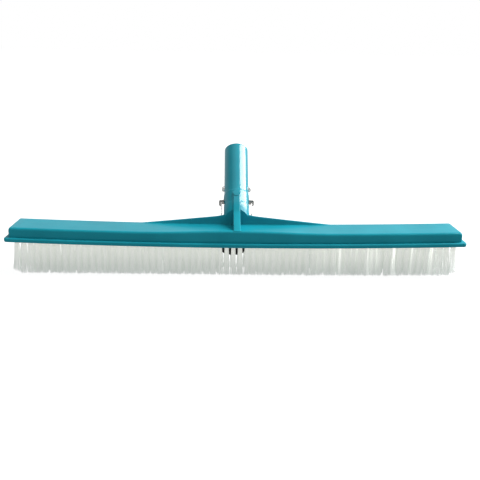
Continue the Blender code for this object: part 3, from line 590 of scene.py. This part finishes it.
def bristle_row(name, places, row, seed):
    """Every filament of a row at once.

    A filament starts at a sunflower place in its bunch: the radius is the square root of its
    share, the angle its number times the golden angle.  Below the block it moves outwards with
    the spread power of its reach, plus a small lean and bend of its own.  The end tufts are
    looser, lean outwards, and are worn short at their outer edge."""
    chance = np.random.default_rng(seed)
    count = len(places)
    number = np.arange(FILAMENTS)
    radius = BUNCH_RADIUS * np.sqrt((number + 0.5) / FILAMENTS)
    angle = number * np.pi * (3 - np.sqrt(5)) + chance.uniform(0, 2 * np.pi, (count, 1))
    start = np.stack([radius * np.cos(angle), radius * np.sin(angle)], axis=2)
    start = start + chance.normal(0, 0.00008, start.shape)
    tuft_lean = chance.normal(0, 0.00030, (count, 1, 2))
    end_lean = np.clip((np.abs(places) - LEAN_FROM) / LEAN_OVER, 0, 1) * np.sign(places) * END_LEAN
    lean = chance.normal(0, 0.00034, start.shape) + tuft_lean
    lean[..., 0] += end_lean[:, None]
    bend = chance.normal(0, 0.00022, start.shape)
    reach = np.clip(RINGS, 0, 1)[None, None, :, None]
    loose = np.clip((np.abs(places) - LOOSE_FROM) / LOOSE_OVER, 0, 1)[:, None, None, None]
    spread = SPREAD * reach ** SPREAD_POWER + LOOSE_SPREAD * loose * reach ** 0.5
    path = (start[:, :, None] * (1 + spread) + lean[:, :, None] * reach ** SPREAD_POWER
            + bend[:, :, None] * np.sin(np.pi * reach))
    trim = chance.normal(0, 0.00025, (count, FILAMENTS, 1))
    out = np.abs(places[:, None, None] + start[:, :, None, 0])
    worn = np.clip((out - WORN_FROM) / WORN_OVER, 0, 1)
    level = np.where(places < 0, 1.0, RIGHT_TRIM) * bow(places)
    length = TUFT_LENGTH + level[:, None, None] - 0.0002 - np.abs(trim) - WEAR * worn ** 1.6
    down = np.where(RINGS < 0, RINGS, RINGS * length)
    base = FLANGE_UNDERSIDE + bow(places)[:, None, None]
    height = base - down
    turn = np.linspace(0, 2 * np.pi, FILAMENT_SIDES, endpoint=False)
    turn = turn + chance.uniform(0, np.pi, (count, FILAMENTS, 1, 1))
    ring = FILAMENT_RADIUS * np.stack([np.cos(turn), np.sin(turn)], axis=-1)
    flat = path[:, :, :, None, :] + ring
    flat[..., 0] += places[:, None, None, None]
    flat[..., 1] += DECK_MIDDLE + row * ROW_PITCH
    tall = np.broadcast_to(height[:, :, :, None, None], (*flat.shape[:4], 1))
    points = np.concatenate([flat, tall], axis=4).reshape(-1, 3)

    rings, sides = len(RINGS), FILAMENT_SIDES
    one = grid_faces(rings, sides)[:, ::-1]
    lids = np.stack([np.arange(sides), np.arange(sides)[::-1] + (rings - 1) * sides])
    one = np.concatenate([one, lids])
    first = np.arange(count * FILAMENTS)[:, None, None] * rings * sides
    quads = (one[None] + first).reshape(-1, 4)
    if signed_volume(points, quads) < 0:
        quads = quads[:, ::-1]
    mesh = bpy.data.meshes.new(name)
    mesh.vertices.add(len(points))
    mesh.vertices.foreach_set("co", points.astype(np.float32).ravel())
    mesh.loops.add(quads.size)
    mesh.loops.foreach_set("vertex_index", quads.astype(np.int32).ravel())
    mesh.polygons.add(len(quads))
    mesh.polygons.foreach_set("loop_start", np.arange(0, quads.size, 4, dtype=np.int32))
    mesh.update(calc_edges=True)
    sector = (angle % (2 * np.pi) // (np.pi / 3)).astype(int)
    clump = np.take_along_axis(chance.random((count, 6)), sector, axis=1)
    aside = start[..., 0] / BUNCH_RADIUS
    # Painted shade: filaments at the sides of each tuft along the row are made darker, in place of
    # the shade between tufts; the clump and noise terms are random tone.
    filament_tone_and_side_shade = 0.90 - 0.42 * aside ** 2 + 0.24 * (clump - 0.5) + chance.normal(0, 0.09, clump.shape)
    # Painted highlight: a few clumps in the right half of the deck glow brighter, as if lit from the
    # right.
    streak = ((clump > 0.86) & (places[:, None] > HIGHLIGHT_STREAK_FROM)) * 0.34 + 0.06
    per_point = np.repeat(np.clip(filament_tone_and_side_shade, 0, 1).ravel(), rings * sides)
    mesh.attributes.new("tone_and_painted_side_shade", "FLOAT", "POINT").data.foreach_set("value", per_point)
    far = np.tile(np.repeat(np.clip(RINGS, 0, 1), sides), count * FILAMENTS)
    mesh.attributes.new("reach", "FLOAT", "POINT").data.foreach_set("value", far)
    # Painted glow: an even amount plus the painted highlight streaks, strongest at the root and
    # fading towards the tips.
    lit = (0.26 + np.repeat(streak.ravel(), rings * sides)) * (1 - 0.55 * far)
    mesh.attributes.new("painted_glow", "FLOAT", "POINT").data.foreach_set("value", lit)
    made = bpy.data.objects.new(name, mesh)
    bpy.context.scene.collection.objects.link(made)
    smooth(made, 60)
    return made


bristle_finish = nylon()
for seed, (row_name, row) in enumerate(ROWS.items()):
    places = tuft_places(row)
    halves = {"": places} if abs(row) > 1 else {"_left": places[places < 0],
                                                "_right": places[places > 0]}
    for half_name, half_places in halves.items():
        node = "bristles_" + row_name + half_name
        tufts = bristle_row(node + "_filaments", half_places, row, 10 * seed + len(half_name))
        finish_piece(tufts, bristle_finish, [node])

# ---- Anchor wires ---------------------------------------------------------------------------
# A short piece of flat wire lies across the bottom of each hole.  The filaments are folded over
# it, and its ends bite into the plastic.
ANCHOR_HALF = np.array([0.00040, 0.00235, 0.00060])
ANCHOR_HEIGHT = 0.0077


def steel(name, colour, roughness, streak):
    """Bright stainless steel with fine drawn streaks along X in its colour and gloss."""
    material = bpy.data.materials.new(name)
    material.use_nodes = True
    nodes, links = material.node_tree.nodes, material.node_tree.links
    shader = nodes["Principled BSDF"]
    shader.inputs["Metallic"].default_value = 1.0
    place = nodes.new("ShaderNodeTexCoord")
    stretch = nodes.new("ShaderNodeMapping")
    stretch.inputs["Scale"].default_value = streak
    links.new(place.outputs["Object"], stretch.inputs["Vector"])
    drawn = nodes.new("ShaderNodeTexNoise")
    drawn.inputs["Scale"].default_value = 900.0
    drawn.inputs["Detail"].default_value = 4.0
    links.new(stretch.outputs["Vector"], drawn.inputs["Vector"])
    tint = nodes.new("ShaderNodeValToRGB")
    tint.color_ramp.elements[0].color = (*(0.82 * np.array(colour)), 1)
    tint.color_ramp.elements[1].color = (*colour, 1)
    links.new(drawn.outputs["Fac"], tint.inputs["Fac"])
    links.new(tint.outputs["Color"], shader.inputs["Base Color"])
    gloss = nodes.new("ShaderNodeMapRange")
    gloss.inputs["To Min"].default_value = roughness * 0.8
    gloss.inputs["To Max"].default_value = roughness * 1.3
    links.new(drawn.outputs["Fac"], gloss.inputs["Value"])
    links.new(gloss.outputs["Result"], shader.inputs["Roughness"])
    bump = nodes.new("ShaderNodeBump")
    bump.inputs["Strength"].default_value = 0.15
    bump.inputs["Distance"].default_value = 0.00003
    links.new(drawn.outputs["Fac"], bump.inputs["Height"])
    links.new(bump.outputs["Normal"], shader.inputs["Normal"])
    return material


corner = np.array([[-1, -1, -1], [1, -1, -1], [1, 1, -1], [-1, 1, -1],
                   [-1, -1, 1], [1, -1, 1], [1, 1, 1], [-1, 1, 1]])
wire_quads = np.array([[0, 3, 2, 1], [4, 5, 6, 7], [0, 1, 5, 4], [1, 2, 6, 5], [2, 3, 7, 6],
                       [3, 0, 4, 7]])
middles = np.stack([hole_x, hole_y, hole_base + ANCHOR_HEIGHT], axis=1)
anchors = put_mesh("tuft_anchors", middles[:, None] + corner[None] * ANCHOR_HALF,
                   (wire_quads[None] + 8 * np.arange(len(hole_x))[:, None, None]).reshape(-1, 4))
anchor_finish = steel("anchor_wire", (0.62, 0.50, 0.27), 0.30, (1, 8, 8))
finish_piece(anchors, anchor_finish, [])

# ---- Rubber bumper --------------------------------------------------------------------------
# A soft black oval bumper in the bare patch at the middle of the deck, moulded in one piece
# with a well for its screw.  It stops the deck's middle striking the wall when the tufts bend.
BUMPER_LONG = 0.0135
BUMPER_SHORT = 0.0090
BUMPER_TALL = 0.0130
BUMPER_GAP = 0.0003
WELL_RADIUS = 0.0042
WELL_TOP = 0.00585


def rubber():
    """Black moulded rubber: nearly matt, with a faint bloom and a fine skin texture."""
    material = bpy.data.materials.new("bumper_rubber")
    material.use_nodes = True
    nodes, links = material.node_tree.nodes, material.node_tree.links
    shader = nodes["Principled BSDF"]
    shader.inputs["Specular IOR Level"].default_value = 0.35
    place = nodes.new("ShaderNodeTexCoord")
    bloom = nodes.new("ShaderNodeTexNoise")
    bloom.inputs["Scale"].default_value = 260.0
    bloom.inputs["Detail"].default_value = 6.0
    links.new(place.outputs["Object"], bloom.inputs["Vector"])
    tint = nodes.new("ShaderNodeValToRGB")
    tint.color_ramp.elements[0].color = (0.006, 0.006, 0.006, 1)
    tint.color_ramp.elements[1].color = (0.016, 0.016, 0.017, 1)
    links.new(bloom.outputs["Fac"], tint.inputs["Fac"])
    links.new(tint.outputs["Color"], shader.inputs["Base Color"])
    worn = nodes.new("ShaderNodeMapRange")
    worn.inputs["To Min"].default_value = 0.58
    worn.inputs["To Max"].default_value = 0.78
    links.new(bloom.outputs["Fac"], worn.inputs["Value"])
    links.new(worn.outputs["Result"], shader.inputs["Roughness"])
    bump = nodes.new("ShaderNodeBump")
    bump.inputs["Strength"].default_value = 0.25
    bump.inputs["Distance"].default_value = 0.0001
    links.new(bloom.outputs["Fac"], bump.inputs["Height"])
    links.new(bump.outputs["Normal"], shader.inputs["Normal"])
    return material


def bumper():
    """A turned profile whose round sections widen into ovals away from the well.

    Across the deck a point keeps its share of the short half width: one at the well, and the
    short over the long half width at the rim."""
    turn = np.linspace(0, np.pi / 2, 10)
    outer = BUMPER_LONG * (0.70 + 0.30 * np.cos(turn))
    outer_z = -BUMPER_TALL + BUMPER_TALL * 0.42 * (1 - np.sin(turn))
    groove = np.array([[1.0, 0.0], [1.0, -0.0030], [0.975, -0.0036], [0.975, -0.0044],
                       [1.0, -0.0050]])
    radius = np.concatenate([[SHANK_HOLE_RADIUS], groove[:, 0] * BUMPER_LONG, outer,
                             [WELL_RADIUS + 0.0006, WELL_RADIUS, WELL_RADIUS,
                              SHANK_HOLE_RADIUS, SHANK_HOLE_RADIUS]])
    height = np.concatenate([[-BUMPER_GAP], groove[:, 1] - BUMPER_GAP, outer_z,
                             [-BUMPER_TALL, -BUMPER_TALL + 0.0006, -WELL_TOP, -WELL_TOP,
                              -BUMPER_GAP]])
    share = np.clip((radius - WELL_RADIUS) / (BUMPER_LONG - WELL_RADIUS), 0, 1)
    narrow = 1 - (1 - BUMPER_SHORT / BUMPER_LONG) * share ** 0.5
    round_turn = np.linspace(0, 2 * np.pi, 72, endpoint=False)[None]
    x = radius[:, None] * np.cos(round_turn) + BUMPER_X
    y = radius[:, None] * narrow[:, None] * np.sin(round_turn) + DECK_MIDDLE
    z = np.broadcast_to(height[:, None] + FLANGE_UNDERSIDE + bow(BUMPER_X), x.shape)
    return np.stack([x, y, z], axis=2)


rings = bumper()
centre_bumper = put_mesh("centre_bumper_rubber", rings, grid_faces(len(rings), rings.shape[1]))
smooth(centre_bumper, 38)
finish_piece(centre_bumper, rubber(), ["centre_bumper"])

# ---- Screws ---------------------------------------------------------------------------------
# Stainless pan-head screws with a cross recess, driven up from below: four through the tuft
# block into the shell's posts, and a longer one through the bumper.
SCREW_RADIUS = 0.0018
HEAD_RADIUS = 0.0036
HEAD_HEIGHT = 0.0020
SCREW_TIP = SHELL_TOP - SHELL_WALL / 2 - 0.0006
THREAD_PITCH = 0.0013
THREAD_DEPTH = 0.00022
SLOT_HALF_LENGTH = 0.0019
SLOT_HALF_WIDTH = 0.00042
SLOT_DEPTH = 0.0011
SCREW_SIDES = 32


def screw(name, x, head_low):
    """A screw from its head up: domed head, then a thread.

    The thread's radius is the shank's, less a groove that is a raised cosine of the height
    over the pitch plus the turn, so the ridge climbs one pitch in each turn."""
    round_turn = np.linspace(0, 2 * np.pi, SCREW_SIDES, endpoint=False)[None]
    rise = np.linspace(0, np.pi / 2, 7)
    head_r = np.concatenate([[0], HEAD_RADIUS * (0.55 + 0.45 * np.sin(rise)), [HEAD_RADIUS]])
    head_z = head_low + np.concatenate([[0], 0.0009 * (1 - np.cos(rise)), [HEAD_HEIGHT]])
    under = head_low + HEAD_HEIGHT
    thread_z = np.linspace(under + 0.0004, SCREW_TIP - 0.0006, 70)[:, None]
    wave = np.cos(2 * np.pi * thread_z / THREAD_PITCH + round_turn)
    thread_r = SCREW_RADIUS - THREAD_DEPTH * (1 - np.maximum(wave, -0.2))
    head_r, head_z = (np.broadcast_to(a[:, None], (len(a), SCREW_SIDES)) for a in (head_r, head_z))
    neck = np.broadcast_to([[SCREW_RADIUS]], (1, SCREW_SIDES))
    radius = np.concatenate([head_r, neck, thread_r, neck * 0.5, neck * 0])
    height = np.concatenate([head_z, neck * 0 + under,
                             np.broadcast_to(thread_z, thread_r.shape),
                             neck * 0 + SCREW_TIP, neck * 0 + SCREW_TIP])
    base = FLANGE_UNDERSIDE + bow(x)
    points = np.stack([x + radius * np.cos(round_turn), DECK_MIDDLE + radius * np.sin(round_turn),
                       base + height], axis=2)
    made = put_mesh(name, points, grid_faces(len(radius), SCREW_SIDES))
    low = base + head_low - 0.001
    deep = base + head_low + SLOT_DEPTH
    long_slot = box_between("long_slot", (x - SLOT_HALF_LENGTH, DECK_MIDDLE - SLOT_HALF_WIDTH, low),
                            (x + SLOT_HALF_LENGTH, DECK_MIDDLE + SLOT_HALF_WIDTH, deep))
    cross_slot = box_between("cross_slot", (x - SLOT_HALF_WIDTH, DECK_MIDDLE - SLOT_HALF_LENGTH, low),
                             (x + SLOT_HALF_WIDTH, DECK_MIDDLE + SLOT_HALF_LENGTH, deep))
    reshape_with(made, "DIFFERENCE", [long_slot, cross_slot])
    smooth(made, 40)
    return made


screw_finish = steel("screw_steel", (0.66, 0.65, 0.63), 0.24, (6, 6, 1))
for side_name, x in zip(("outer_left", "inner_left", "inner_right", "outer_right"), SCREW_PLACES):
    finish_piece(screw("screw_" + side_name, float(x), 0.0), screw_finish,
                 ["block_screw_" + side_name])
finish_piece(screw("screw_centre", BUMPER_X, -WELL_TOP - HEAD_HEIGHT), screw_finish,
             ["centre_screw"])

# ---- Spring clip ----------------------------------------------------------------------------
# A stainless spring strip bent into a V inside the spigot.  Its arms press outwards, carry the
# lock buttons, and come out through the side windows as finger pads with a turned lip.
STRIP_THICKNESS = 0.0009
STRIP_HALF_WIDTH = 0.0040
BOW_RADIUS = 0.0045
BOW_CENTRE = 0.0900
WALL_GAP = 0.0004
ARM_X = math.sqrt(BORE_RADIUS ** 2 - STRIP_HALF_WIDTH ** 2) - WALL_GAP - STRIP_THICKNESS / 2
PAD_X = ROOT_RADIUS + 0.0019
LIP_X = ROOT_RADIUS + 0.0050
LIP_DISTANCE = 0.0220
LIP_ROUND = 0.0012
ARM_BEND = 0.0030
ARM_EASE = 0.0008
ARM_STRAIGHT_END = 0.0600
PAD_START = 0.0045
BUTTON_DISTANCE = 0.0420
STEM_RADIUS = 0.0015
STEM_HOLE_RADIUS = STEM_RADIUS + 0.0002


def softened(path, times):
    """Cut each corner of a line of points at a quarter and three quarters, keeping its ends."""
    for _ in range(times):
        near = path[:-1] * 0.75 + path[1:] * 0.25
        far = path[:-1] * 0.25 + path[1:] * 0.75
        middle = np.stack([near, far], axis=1).reshape(-1, 2)
        path = np.concatenate([path[:1], middle, path[-1:]])
    return path


def strip(name, path):
    """A flat strip with eased edges, carried along a path across and along the handle."""
    tangent = np.gradient(path, axis=0)
    tangent /= np.linalg.norm(tangent, axis=1, keepdims=True)
    normal = np.stack([-tangent[:, 1], tangent[:, 0]], axis=1)
    turn = np.linspace(0, np.pi, 7)
    ease = STRIP_THICKNESS / 2
    edge = STRIP_HALF_WIDTH - ease * 0.5
    wide = np.concatenate([edge + ease * 0.5 * np.sin(turn), -edge - ease * 0.5 * np.sin(turn)])
    thick = np.concatenate([ease * np.cos(turn), -ease * np.cos(turn)])
    flat = path[:, None] + normal[:, None] * thick[None, :, None]
    return carried(name, in_handle(flat[..., 0], wide[None], flat[..., 1]))


spring_finish = steel("spring_strip", (0.50, 0.50, 0.485), 0.26, (1, 10, 10))
half_turn = np.linspace(0, np.pi, 33)
bow_line = np.stack([-BOW_RADIUS * np.cos(half_turn),
                     BOW_CENTRE + BOW_RADIUS * np.sin(half_turn)], axis=1)
clip_bow = strip("clip_bow_strip", bow_line)
smooth(clip_bow, 40)
finish_piece(clip_bow, spring_finish, ["clip_bow"])

lip_start = WINDOW_TOP - LIP_ROUND
pad_top = LIP_DISTANCE - 2 * LIP_ROUND
arm_line = np.array([
    [BOW_RADIUS, BOW_CENTRE - 0.0003], [BOW_RADIUS + ARM_EASE, BOW_CENTRE - 2 * ARM_BEND],
    [ARM_X - ARM_EASE, ARM_STRAIGHT_END + ARM_BEND], [ARM_X, ARM_STRAIGHT_END - ARM_BEND],
    [ARM_X, lip_start], [ARM_X + ARM_EASE, lip_start - 2 * ARM_EASE],
    [LIP_X - LIP_ROUND, LIP_DISTANCE + ARM_EASE], [LIP_X, LIP_DISTANCE],
    [LIP_X - LIP_ROUND, LIP_DISTANCE - LIP_ROUND], [PAD_X + ARM_EASE / 2, pad_top],
    [PAD_X, pad_top - 2 * ARM_EASE], [PAD_X, PAD_START]])
for side_name, side in (("left", -1), ("right", 1)):
    arm = strip("clip_arm_strip_" + side_name, softened(arm_line * [side, 1], 3))
    across = np.array([[-0.02], [0.02]])
    way = in_handle(across, STEM_HOLE_RADIUS * np.cos(side_turn)[None],
                    BUTTON_DISTANCE + STEM_HOLE_RADIUS * np.sin(side_turn)[None])
    reshape_with(arm, "DIFFERENCE", [carried("stem_way", way)])
    smooth(arm, 40)
    finish_piece(arm, spring_finish, ["clip_arm_" + side_name],
                 "arm_" + side_name)

# ---- Lock buttons ---------------------------------------------------------------------------
# Turned stainless buttons, riveted through the arms, that snap out through the spigot's holes
# into the pole's.
BUTTON_RADIUS = 0.0032
BUTTON_TIP = SPIGOT_RADIUS + 0.0028
BUTTON_DOME = 0.0011
RIVET_RADIUS = 0.0026
RIVET_DOME = 0.0009
ARM_GAP = 0.0003
face = ARM_X + STRIP_THICKNESS / 2 + ARM_GAP
back = ARM_X - STRIP_THICKNESS / 2 - ARM_GAP
dome = np.linspace(0, np.pi / 2, 9)
button_r = np.concatenate([[0], BUTTON_RADIUS * np.sin(dome[1:]) ** 0.8, [BUTTON_RADIUS],
                           [STEM_RADIUS, STEM_RADIUS],
                           RIVET_RADIUS * np.cos(dome)])
button_x = np.concatenate([[BUTTON_TIP], BUTTON_TIP - BUTTON_DOME * (1 - np.cos(dome[1:])),
                           [face], [face, back], back - RIVET_DOME * np.sin(dome)])
button_finish = steel("button_steel", (0.86, 0.86, 0.85), 0.22, (8, 1, 1))
for side_name, side in (("left", -1), ("right", 1)):
    rounds = in_handle(side * button_x[:, None],
                       button_r[:, None] * np.cos(side_turn)[None],
                       BUTTON_DISTANCE + button_r[:, None] * np.sin(side_turn)[None])
    button = put_mesh("lock_button_turned_" + side_name, rounds,
                      grid_faces(len(button_r), len(side_turn)))
    smooth(button, 35)
    finish_piece(button, button_finish, ["lock_button_" + side_name],
                 "arm_" + side_name)

# ---- Studio ---------------------------------------------------------------------------------
# A glowing white table that runs out to a white horizon under a dim ceiling, and one long soft
# light, at the right from overhead down to low behind, that draws the bright line down the
# spigot.
bpy.ops.mesh.primitive_plane_add(size=60)
table = bpy.context.object
table.name = "white_table"
table_finish = bpy.data.materials.new("white_table")
table_finish.use_nodes = True
table_shader = table_finish.node_tree.nodes["Principled BSDF"]
table_shader.inputs["Base Color"].default_value = (0.25, 0.25, 0.25, 1)
table_shader.inputs["Roughness"].default_value = 1.0
table_shader.inputs["Specular IOR Level"].default_value = 0.0
table_shader.inputs["Emission Color"].default_value = (1.0, 1.0, 1.0, 1)
table_shader.inputs["Emission Strength"].default_value = 0.88
table.data.materials.append(table_finish)
table.visible_diffuse = False
table.visible_glossy = False

LIGHT_DISTANCE = 2.6
LIGHT_NEAR = np.array([0.489, -0.032, 0.872]) * LIGHT_DISTANCE
LIGHT_FAR = np.array([0.837, 0.466, 0.290]) * LIGHT_DISTANCE
LIGHT_WIDTH = 0.85
light_middle = (LIGHT_NEAR + LIGHT_FAR) / 2
along = LIGHT_FAR - LIGHT_NEAR
light_length = float(np.linalg.norm(along))
along /= light_length
away = light_middle / np.linalg.norm(light_middle)
away = away - along * float(away @ along)
away /= np.linalg.norm(away)
strip_light = bpy.data.lights.new("long_soft_light", "AREA")
strip_light.shape = "RECTANGLE"
strip_light.size, strip_light.size_y = LIGHT_WIDTH, light_length
strip_light.energy = 112
lamp = bpy.data.objects.new("long_soft_light", strip_light)
bpy.context.scene.collection.objects.link(lamp)
lamp_frame = np.eye(4)
lamp_frame[:3, 0], lamp_frame[:3, 1], lamp_frame[:3, 2] = np.cross(along, away), along, away
lamp_frame[:3, 3] = light_middle
lamp.matrix_world = Matrix(lamp_frame.tolist())
lamp.visible_camera = False

world = bpy.data.worlds.new("studio")
world.use_nodes = True
sky, sky_links = world.node_tree.nodes, world.node_tree.links
height = sky.new("ShaderNodeSeparateXYZ")
sky_links.new(sky.new("ShaderNodeTexCoord").outputs["Generated"], height.inputs["Vector"])
rise = sky.new("ShaderNodeMapRange")
rise.inputs["From Min"].default_value = -1.0
sky_links.new(height.outputs["Z"], rise.inputs["Value"])
dome = sky.new("ShaderNodeValToRGB")
for place, bright in ((0.0, 0.51), (0.475, 0.51), (0.52, 0.62), (0.70, 0.62), (0.88, 0.22),
                      (1.0, 0.22)):
    stop = dome.color_ramp.elements.new(place)
    stop.color = (bright, bright, bright, 1)
dome.color_ramp.elements.remove(dome.color_ramp.elements[0])
dome.color_ramp.elements.remove(dome.color_ramp.elements[-1])
sky_links.new(rise.outputs["Result"], dome.inputs["Fac"])
low = sky.new("ShaderNodeMapRange")
low.inputs["From Min"].default_value = 0.17
low.inputs["From Max"].default_value = 0.10
sky_links.new(height.outputs["Z"], low.inputs["Value"])
behind = sky.new("ShaderNodeMapRange")
behind.inputs["From Min"].default_value = 0.84
behind.inputs["From Max"].default_value = 0.91
sky_links.new(height.outputs["Y"], behind.inputs["Value"])
backdrop = sky.new("ShaderNodeMath")
backdrop.operation = "MULTIPLY"
sky_links.new(low.outputs["Result"], backdrop.inputs[0])
sky_links.new(behind.outputs["Result"], backdrop.inputs[1])
both = sky.new("ShaderNodeMix")
both.data_type = "RGBA"
both.inputs[7].default_value = (1.0, 1.0, 1.0, 1)
sky_links.new(backdrop.outputs["Value"], both.inputs["Factor"])
sky_links.new(dome.outputs["Color"], both.inputs[6])
sky_links.new(both.outputs[2], sky["Background"].inputs["Color"])
bpy.context.scene.world = world
bpy.context.scene.view_settings.view_transform = "Standard"

# ---- Camera ---------------------------------------------------------------------------------
# Just above the deck, a little to the left of its middle, looking down by a sixth of a right
# angle, and held a degree out of level.
AIM = np.array([0.0, DECK_MIDDLE, FLANGE_UNDERSIDE])
AWAY = 0.7305
TURN, TILT, ROLL = (math.radians(angle) for angle in (1.383, 16.551, 1.031))
look = np.array([math.sin(TURN) * math.cos(TILT), math.cos(TURN) * math.cos(TILT),
                 -math.sin(TILT)])
right = np.array([math.cos(TURN), -math.sin(TURN), 0.0])
up = np.cross(right, look)
right, up = (math.cos(ROLL) * right + math.sin(ROLL) * up,
             math.cos(ROLL) * up - math.sin(ROLL) * right)
lens = bpy.data.cameras.new("studio_camera")
lens.lens = 49.1
lens.sensor_width = 36.0
lens.shift_x = 0.0072
lens.shift_y = 0.0038
camera = bpy.data.objects.new("studio_camera", lens)
bpy.context.scene.collection.objects.link(camera)
turned = np.eye(4)
turned[:3, 0], turned[:3, 1], turned[:3, 2] = right, up, -look
turned[:3, 3] = AIM - look * AWAY
camera.matrix_world = Matrix(turned.tolist())
bpy.context.scene.camera = camera
